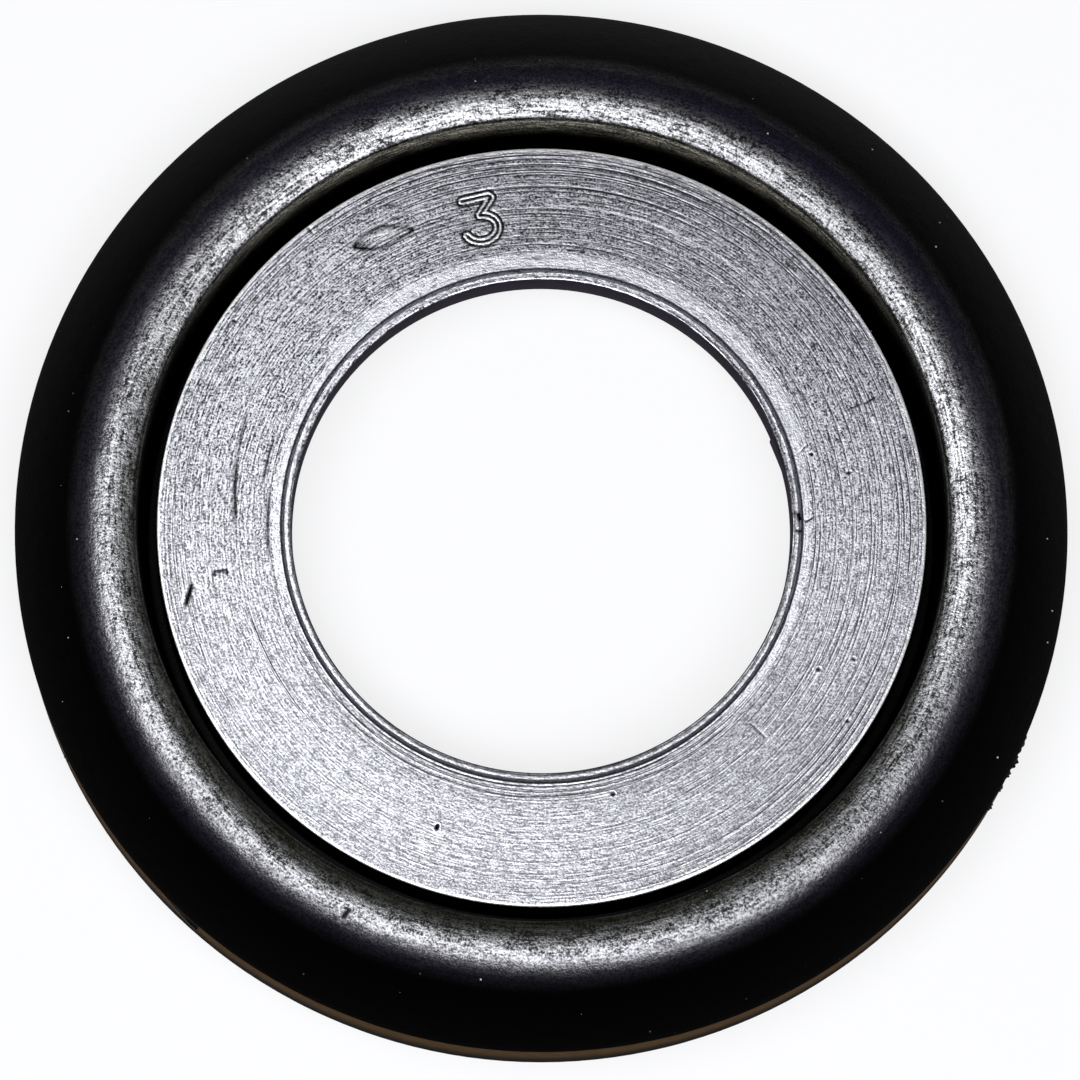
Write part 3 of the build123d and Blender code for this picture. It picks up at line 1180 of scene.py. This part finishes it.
class SEAL_OT_ring(bpy.types.Operator):
    """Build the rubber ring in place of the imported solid"""

    bl_idname = "seal.ring"
    bl_label = "Rubber Ring"

    def execute(self, context):
        shape, finish = context.scene.seal_shape, context.scene.seal_turning
        section = point_object("section_rows", [(r, 0, z) for r, z in section_rows(shape)])
        angles = np.radians(column_angles(FACE_MARKS + BEAD_MARKS))
        stations = point_object("station_headings", [(math.cos(a), math.sin(a), 0) for a in angles])
        inputs = {
            "Section": section,
            "Stations": stations,
            "Face Height": shape.collar_height,
            "Face Inner": shape.bore_radius + shape.lip_width + shape.lip_rise,
            "Face Outer": shape.collar_radius,
            "Ring Pitch": finish.ring_pitch,
            "Ring Depth": finish.ring_depth,
            "Ring Runs": finish.ring_runs,
            "Seed": finish.ring_seed,
            "Material": the_rubber(),
        }
        piece = run_tree("rubber_ring", ring_tree(), inputs)
        for helper in (section, stations):
            bpy.data.objects.remove(helper)
        if len(piece.data.polygons) == 0:
            raise RuntimeError("the node tree made no ring")
        cut_marks(piece.data, shape)
        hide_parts(NODE)
        finish_piece(piece)
        return {"FINISHED"}


class SEAL_OT_flash(bpy.types.Operator):
    """Add the mould flash on the parting edge and at the bore"""

    bl_idname = "seal.flash"
    bl_label = "Mould Flash"

    def execute(self, context):
        shape = context.scene.seal_shape
        parting = {
            "droop": lambda t: 0.08 * MM * math.sin(9 * t),
            "root": shape.outer_radius,
            "side": 1,
            "thickness": 0.5 * MM,
            "height": shape.skirt_height - 0.3 * MM,
        }
        rim = [
            Fin(-23.3, -25.6, bump_out(0.16, 0.5), **parting),
            Fin(-25.7, -27.4, bump_out(0.34, 0.6), **parting),
            Fin(-27.5, -28.6, bump_out(0.22, 0.6), **parting),
            Fin(-29.2, -30.4, bump_out(0.20, 1.0), **parting),
            Fin(-31.6, -32.7, bump_out(0.28, 0.6), **parting),
            Fin(-136.0, -130.2, snapped_off, **parting),
            Fin(-154.6, -152.9, bump_out(0.20, 1.0), **parting),
        ]
        core = {
            "droop": lambda t: -0.08 * MM,
            "root": shape.bore_radius,
            "side": -1,
            "thickness": 0.12 * MM,
            "height": shape.collar_height - shape.lip_drop - 0.16 * MM,
        }
        bore = [Fin(22.6, 1.0, bore_reach, **core)]
        for name, fins in (("rim_flash", rim), ("bore_flash", bore)):
            piece = put(name, fin_mesh(name, fins))
            piece.data.materials.append(the_rubber())
            finish_piece(piece)
        return {"FINISHED"}


class SEAL_OT_stage(bpy.types.Operator):
    """Set up the floor, the lamps, the air and the camera"""

    bl_idname = "seal.stage"
    bl_label = "Stage"

    def execute(self, context):
        studio, shape = context.scene.seal_studio, context.scene.seal_shape
        context.scene.view_settings.view_transform = "Standard"
        add_floor()
        set_world(studio.world_level)
        centre, size, tint = (0, 0, shape.collar_height), studio.softbox_size, studio.lamp_tint
        add_softbox("left_softbox", studio.left_place, centre, size, studio.left_power, tint)
        add_softbox("right_softbox", studio.right_place, centre, size, studio.right_power, tint)
        add_camera(studio, shape)
        return {"FINISHED"}


class SEAL_PT_panel(bpy.types.Panel):
    """Sizes, finish and steps of the seal"""

    bl_idname = "SEAL_PT_panel"
    bl_label = "Filler Neck Seal"
    bl_space_type = "VIEW_3D"
    bl_region_type = "UI"
    bl_category = "Seal"

    def draw(self, context):
        layout = self.layout
        for name, group in GROUPS.items():
            box = layout.box()
            settings = getattr(context.scene, name)
            for key in group.__annotations__:
                box.prop(settings, key)
        for step in STEPS:
            layout.operator(step.bl_idname)


STEPS = (SEAL_OT_ring, SEAL_OT_flash, SEAL_OT_stage)
CLASSES = (*GROUPS.values(), *STEPS, SEAL_PT_panel)


def register():
    for item in CLASSES:
        bpy.utils.register_class(item)
    for name, group in GROUPS.items():
        setattr(bpy.types.Scene, name, bpy.props.PointerProperty(type=group))


def unregister():
    for name in GROUPS:
        delattr(bpy.types.Scene, name)
    for item in reversed(CLASSES):
        bpy.utils.unregister_class(item)


def main():
    register()
    bpy.ops.seal.ring()
    bpy.ops.seal.flash()
    bpy.ops.seal.stage()


if __name__ == "__main__":
    main()
